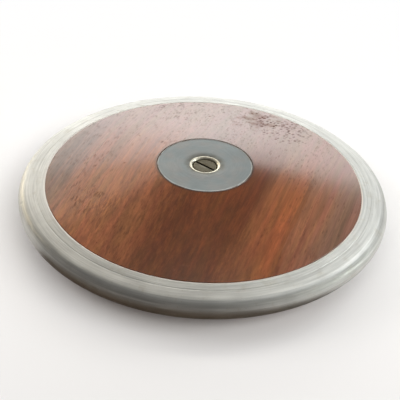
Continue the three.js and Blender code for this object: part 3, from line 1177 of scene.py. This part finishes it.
class DISCUS_OT_finish_inner_parts(bpy.types.Operator):
    """Give the weights, washers and pins inside the discus their finishes"""

    bl_idname = "discus.finish_inner_parts"
    bl_label = "Finish Inner Parts"

    def execute(self, context):
        iron = cast_finish("weight_iron")
        sheet = steel_finish("washer_steel", WASHER_GREY)
        ground = steel_finish("pin_steel", PIN_GREY)
        kinds = (("core_weight", iron), ("trim_washer", sheet), ("rim_pin", ground))
        for name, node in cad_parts.items():
            for kind, material in kinds:
                if kind in name:
                    node.data.materials.clear()
                    node.data.materials.append(material)
        return {"FINISHED"}


class DISCUS_OT_set_stage(bpy.types.Operator):
    """Lay the pale floor, hang the lamps and place the camera"""

    bl_idname = "discus.set_stage"
    bl_label = "Set Stage"

    def execute(self, context):
        self.lay_floor(context)
        for lamp in MIRRORED_LAMPS:
            self.hang_lamp(*lamp).visible_diffuse = False
        for lamp in FILL_LAMPS:
            self.hang_lamp(*lamp).visible_glossy = False
        for lamp in PLAIN_LAMPS:
            self.hang_lamp(*lamp)
        self.light_world(context)
        self.place_camera(context)
        context.scene.view_settings.view_transform = "Standard"
        return {"FINISHED"}

    def lay_floor(self, context):
        """Lays the pale floor under the lower plate, and on it a dark sheet that paints shade
        into reflections.
        """
        clear_selection()
        bpy.ops.mesh.primitive_plane_add(size=FLOOR_WIDTH, location=(0, 0, -PLATE_HIGH.z))
        floor = context.object
        floor.name = "floor"
        bpy.ops.object.transform_apply(location=True, rotation=True, scale=True)
        floor.data.materials.append(floor_finish(tuple(context.scene.discus_colours.floor)))
        self.lay_dark_reflected_shade_sheet(context)

    def lay_dark_reflected_shade_sheet(self, context):
        """A dark sheet before the discus that shows in reflections only: painted shade in the
        near rim's reflection.
        """
        clear_selection()
        place = (*REFLECTED_SHADE_PLACE, -PLATE_HIGH.z + REFLECTED_SHADE_LIFT)
        bpy.ops.mesh.primitive_plane_add(size=1, location=place)
        reflected_shade_sheet = context.object
        reflected_shade_sheet.name = "front_reflected_shade_sheet"
        bpy.ops.transform.resize(value=(*REFLECTED_SHADE_SIZE, 1))
        bpy.ops.object.transform_apply(location=True, rotation=True, scale=True)
        material, tree, shader = new_finish("dark_reflected_shade_sheet")
        sheet_mottle = noise(tree, place_of(tree), 600.0, 2.0)
        fill_sockets(tree, shader, {"Base Color": colour_ramp(tree, sheet_mottle, REFLECTED_SHADE_STOPS)})
        reflected_shade_sheet.data.materials.append(material)
        reflected_shade_sheet.visible_camera = False
        reflected_shade_sheet.visible_diffuse = False
        reflected_shade_sheet.visible_shadow = False

    def hang_lamp(self, name, place, size, power, colour):
        """A soft rectangular lamp that faces the discus."""
        clear_selection()
        aim = (-Vector(place)).to_track_quat("-Z", "Y").to_euler()
        bpy.ops.object.light_add(type="AREA", location=place, rotation=aim)
        lamp = bpy.context.object
        lamp.name = name
        lamp.data.shape = "RECTANGLE"
        lamp.data.size, lamp.data.size_y = size
        lamp.data.energy = power
        lamp.data.color = colour
        return lamp

    def light_world(self, context):
        """Soft light from all round, dim towards the front, before a white background."""
        world = bpy.data.worlds.new("studio")
        context.scene.world = world
        world.use_nodes = True
        tree = world.node_tree
        tree.nodes.clear()
        heading = add_node(tree, "TexCoord").outputs["Generated"]
        sides = {0: heading, 1: BRIGHT_SIDE}
        facing = add_node(tree, "VectorMath", sides, operation="DOT_PRODUCT").outputs[1]
        colour = colour_ramp(tree, remap_linear(tree, facing, -1, 1), SKY_STOPS)
        soft = add_node(tree, "Background", {"Color": colour, "Strength": 1.0})
        white = add_node(tree, "Background", {"Color": WHITE, "Strength": 1.0})
        height = part_of(tree, heading, Z)
        horizon = remap(tree, height, 0.0, HORIZON_HEIGHT, 1.0, 0.0)
        path = add_node(tree, "LightPath").outputs
        mirrored = sum_of(tree, path["Is Glossy Ray"], path["Is Transmission Ray"])
        seen = sum_of(tree, path["Is Camera Ray"], product(tree, horizon, mirrored))
        shown = add_node(tree, "MixShader", {0: seen, 1: soft.outputs[0], 2: white.outputs[0]})
        add_node(tree, "OutputWorld", {"Surface": shown.outputs[0]})

    def place_camera(self, context):
        """Places the camera as it stood for the photograph."""
        clear_selection()
        aim = Vector(CAMERA_AIM).to_track_quat("-Z", "Y")
        aim = aim @ Quaternion((0, 0, 1), CAMERA_ROLL)
        bpy.ops.object.camera_add(location=CAMERA_PLACE, rotation=aim.to_euler())
        camera = context.object
        camera.name = "photo_camera"
        camera.data.sensor_width = SENSOR_WIDTH
        camera.data.lens = CAMERA_LENS
        context.scene.camera = camera


class DISCUS_PT_workshop(bpy.types.Panel):
    """Lists the steps that make the discus"""

    bl_label = "Throwing Discus"
    bl_idname = "DISCUS_PT_workshop"
    bl_space_type = "VIEW_3D"
    bl_region_type = "UI"
    bl_category = "Discus"

    def draw(self, context):
        for group in (context.scene.discus_sizes, context.scene.discus_colours):
            for name in group.bl_rna.properties.keys():
                if name not in ("rna_type", "name"):
                    self.layout.prop(group, name)
        for step in STEPS:
            self.layout.operator(step.bl_idname)


STEPS = (
    DISCUS_OT_turn_rim,
    DISCUS_OT_turn_wooden_sides,
    DISCUS_OT_turn_plates,
    DISCUS_OT_turn_screw_cups,
    DISCUS_OT_make_centre_screw,
    DISCUS_OT_finish_inner_parts,
    DISCUS_OT_set_stage,
)
CLASSES = (DiscusSizes, DiscusColours, *STEPS, DISCUS_PT_workshop)


def register():
    for each in CLASSES:
        bpy.utils.register_class(each)
    bpy.types.Scene.discus_sizes = bpy.props.PointerProperty(type=DiscusSizes)
    bpy.types.Scene.discus_colours = bpy.props.PointerProperty(type=DiscusColours)


def unregister():
    del bpy.types.Scene.discus_colours
    del bpy.types.Scene.discus_sizes
    for each in reversed(CLASSES):
        bpy.utils.unregister_class(each)


def main():
    register()
    bpy.ops.discus.turn_rim()
    bpy.ops.discus.turn_wooden_sides()
    bpy.ops.discus.turn_plates()
    bpy.ops.discus.turn_screw_cups()
    bpy.ops.discus.make_centre_screw()
    bpy.ops.discus.finish_inner_parts()
    bpy.ops.discus.set_stage()


if __name__ == "__main__":
    main()
